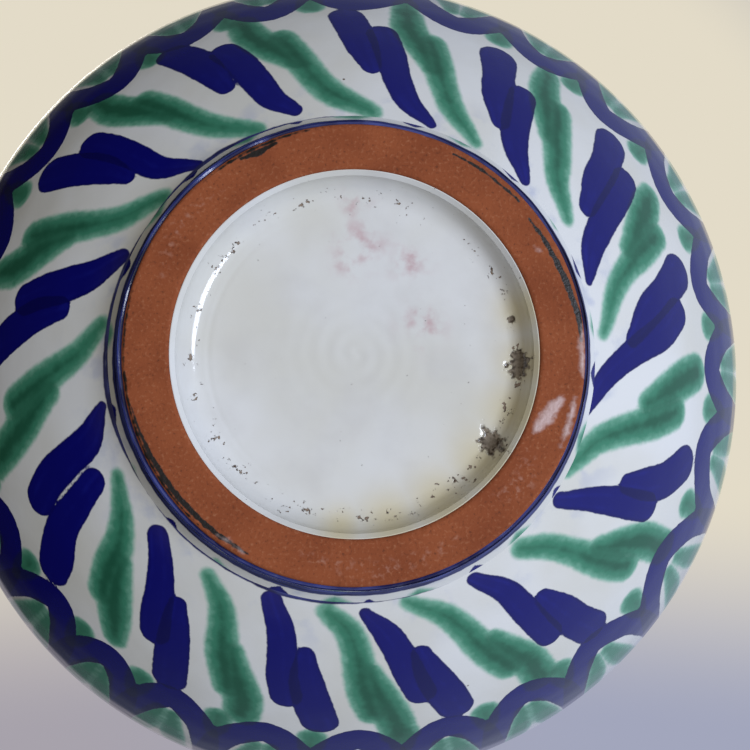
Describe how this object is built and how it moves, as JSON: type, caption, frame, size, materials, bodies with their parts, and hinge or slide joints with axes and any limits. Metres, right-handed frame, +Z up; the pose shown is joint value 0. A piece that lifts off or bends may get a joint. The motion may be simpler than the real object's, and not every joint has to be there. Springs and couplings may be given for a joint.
{
  "type": "talavera vase",
  "caption": "Round-bodied glazed pottery vase with a flared neck, a bare clay foot ring and painted blue and green leaves.",
  "frame": {"origin": "middle of the foot ring's flat standing face, on the surface that the vase stands on", "axes": "+Z up along the axis the vase was turned about, from the foot to the mouth; X and Y are any two directions across it"},
  "size_m": [0.2212, 0.2212, 0.236],
  "materials": {
    "fired_clay": "bare turned terracotta",
    "fired_slip": "fired luting slip",
    "painted_glaze": "glossy white tin glaze painted in cobalt blue and copper green",
    "white_glaze": "glossy white tin glaze"
  },
  "bodies": {
    "root": {"foot_ring": "fired_clay", "foot_slip": "fired_slip", "lower_bowl": "fired_clay", "belly_slip": "fired_slip", "shoulder": "fired_clay", "neck_slip": "fired_slip", "neck": "fired_clay", "outer_glaze": "painted_glaze", "inner_glaze": "white_glaze", "recess_glaze": "white_glaze"}
  },
  "joints": []
}
